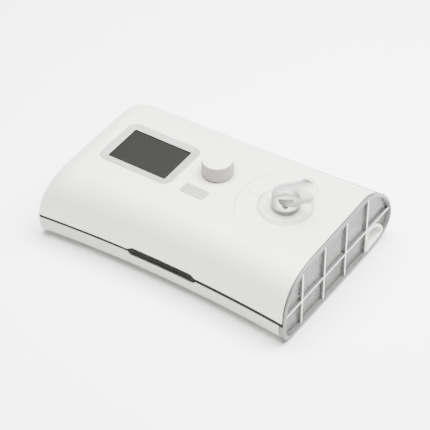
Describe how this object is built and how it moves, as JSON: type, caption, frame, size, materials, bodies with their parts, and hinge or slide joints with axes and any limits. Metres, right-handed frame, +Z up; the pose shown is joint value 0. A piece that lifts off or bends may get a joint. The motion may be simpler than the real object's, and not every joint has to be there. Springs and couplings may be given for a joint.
{
  "type": "positive airway pressure machine",
  "caption": "Bedside breathing machine: white rounded case, screen, push knob, key, side water tank that slides out, and a clear swivel elbow for the air hose.",
  "frame": {"origin": "middle of the machine's length and depth, on the plane that its feet stand on", "axes": "+X to the end with the water tank, +Y to the rear, away from the person who reads the screen, +Z up"},
  "size_m": [0.292, 0.202, 0.1196],
  "materials": {
    "white_shell": "warm white satin moulding",
    "grey_trim": "pale grey satin moulding",
    "dark_trim": "dark grey moulding",
    "screen_glass": "dark polished window of a screen that is off",
    "clear_plastic": "clear polished moulding",
    "black_plastic": "black moulding",
    "inner_plastic": "grey moulding",
    "board": "green circuit board",
    "steel": "bright steel",
    "aluminium": "bare plate",
    "soft_seal": "grey silicone",
    "foot_rubber": "dark rubber",
    "filter_felt": "white fibre felt"
  },
  "bodies": {
    "machine": {"top_cover": "white_shell", "base_shell": "white_shell", "tank_bulkhead": "white_shell", "filter_box": "white_shell", "power_niche": "white_shell", "seam_strip_main": "dark_trim", "seam_strip_front_right": "dark_trim", "front_grille": "dark_trim", "screen_bezel": "grey_trim", "screen_lens": "screen_glass", "lcd_module": "black_plastic", "display_board": "board", "encoder_body": "black_plastic", "key_switch": "black_plastic", "outlet_port": "white_shell", "port_seal": "soft_seal", "heater_plate": "aluminium", "heater_mount": "inner_plastic", "blower_duct": "soft_seal", "outlet_duct": "inner_plastic", "tank_inlet_seal": "soft_seal", "tank_outlet_seal": "soft_seal", "blower_housing": "inner_plastic", "blower_cover": "inner_plastic", "blower_motor": "steel", "blower_mount": "soft_seal", "main_board": "board", "card_reader": "steel", "ribbon_cable": "grey_trim", "power_inlet": "black_plastic", "foot_1": "foot_rubber", "foot_2": "foot_rubber", "foot_3": "foot_rubber", "foot_4": "foot_rubber", "case_screw_1": "steel", "case_screw_2": "steel", "case_screw_3": "steel", "case_screw_4": "steel"},
    "knob_press_stage": {"encoder_plunger": "black_plastic"},
    "knob": {"control_knob": "white_shell", "encoder_shaft": "steel"},
    "mode_key": {"mode_key": "grey_trim"},
    "elbow": {"outlet_elbow": "clear_plastic"},
    "water_tank": {"tank_tub": "clear_plastic", "tank_end_frame": "clear_plastic", "tank_lid": "clear_plastic", "tank_seal": "soft_seal", "tank_heat_plate": "steel"},
    "filter_door": {"filter_cover": "white_shell", "inlet_filter": "filter_felt"},
    "card": {"memory_card": "black_plastic"},
    "rotor": {"impeller": "inner_plastic", "blower_spindle": "steel"}
  },
  "joints": [
    {"name": "knob_press", "type": "slide", "parent": "machine", "child": "knob_press_stage", "axis": [0, 0.0349, -0.9994], "range_m": [0, 0.0008], "stiffness_N_per_m": 3000, "springref_m": -0.0003},
    {"name": "knob_turn", "type": "hinge", "parent": "knob_press_stage", "child": "knob", "pos_m": [0.0019, 0.0033, 0.07737], "axis": [0, -0.0349, 0.9994], "continuous": true},
    {"name": "mode_key_press", "type": "slide", "parent": "machine", "child": "mode_key", "axis": [0, 0.0349, -0.9994], "range_m": [0, 0.0006], "stiffness_N_per_m": 2000, "springref_m": -0.0003},
    {"name": "elbow_swivel", "type": "hinge", "parent": "machine", "child": "elbow", "pos_m": [0.0853, -0.0044, 0.0771], "axis": [0, -0.0349, 0.9994], "continuous": true},
    {"name": "tank_slide", "type": "slide", "parent": "machine", "child": "water_tank", "axis": [1, 0, 0], "range_m": [0, 0.108]},
    {"name": "filter_door_pull", "type": "slide", "parent": "machine", "child": "filter_door", "axis": [-1, 0, 0], "range_m": [0, 0.014]},
    {"name": "card_pull", "type": "slide", "parent": "machine", "child": "card", "axis": [-1, 0, 0], "range_m": [0, 0.033]},
    {"name": "rotor_spin", "type": "hinge", "parent": "machine", "child": "rotor", "pos_m": [-0.058, 0, 0.02], "axis": [0, 0, 1], "continuous": true}
  ]
}
